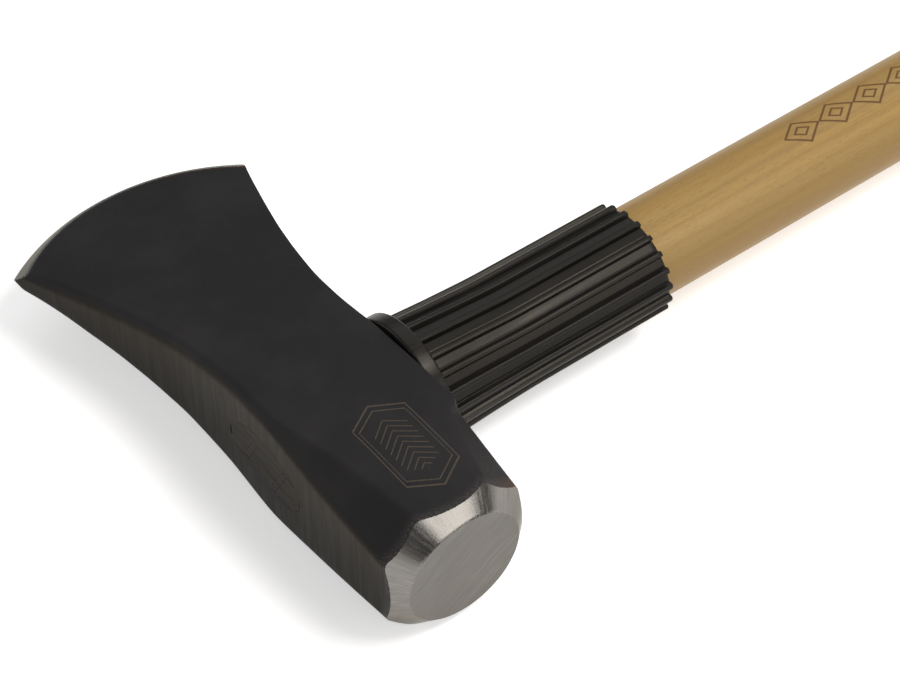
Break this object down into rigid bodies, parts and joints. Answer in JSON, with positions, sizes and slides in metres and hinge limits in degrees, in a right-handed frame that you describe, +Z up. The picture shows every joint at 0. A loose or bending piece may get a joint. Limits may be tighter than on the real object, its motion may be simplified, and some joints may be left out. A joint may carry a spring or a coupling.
{
  "type": "splitting maul",
  "caption": "Splitting maul: wedge-shaped steel head with an octagonal hammer poll on a long oval wooden handle, with a ribbed rubber guard below the head.",
  "frame": {"origin": "on the lower cheek, the flat of the poll that the maul rests on, at the level of the handle's axis along the head", "axes": "+X along the handle from the head to the grip, +Y from the poll to the cutting edge, +Z up, square to the cheeks"},
  "size_m": [0.9369, 0.2271, 0.0572],
  "materials": {
    "painted_steel": "near-black satin coating with a fine grain; the poll and the cutting bevel are bare ground steel",
    "hickory": "clear satin lacquer over straight-grained hickory",
    "wedge_wood": "sawn hardwood under the dark coating of the head",
    "wedge_steel": "plain steel, dull",
    "black_rubber": "moulded black rubber with a soft sheen"
  },
  "bodies": {
    "root": {"maul_head": "painted_steel", "handle": "hickory", "wooden_wedge": "wedge_wood", "steel_wedge_bit_side": "wedge_steel", "steel_wedge_poll_side": "wedge_steel", "overstrike_guard": "black_rubber"}
  },
  "joints": []
}
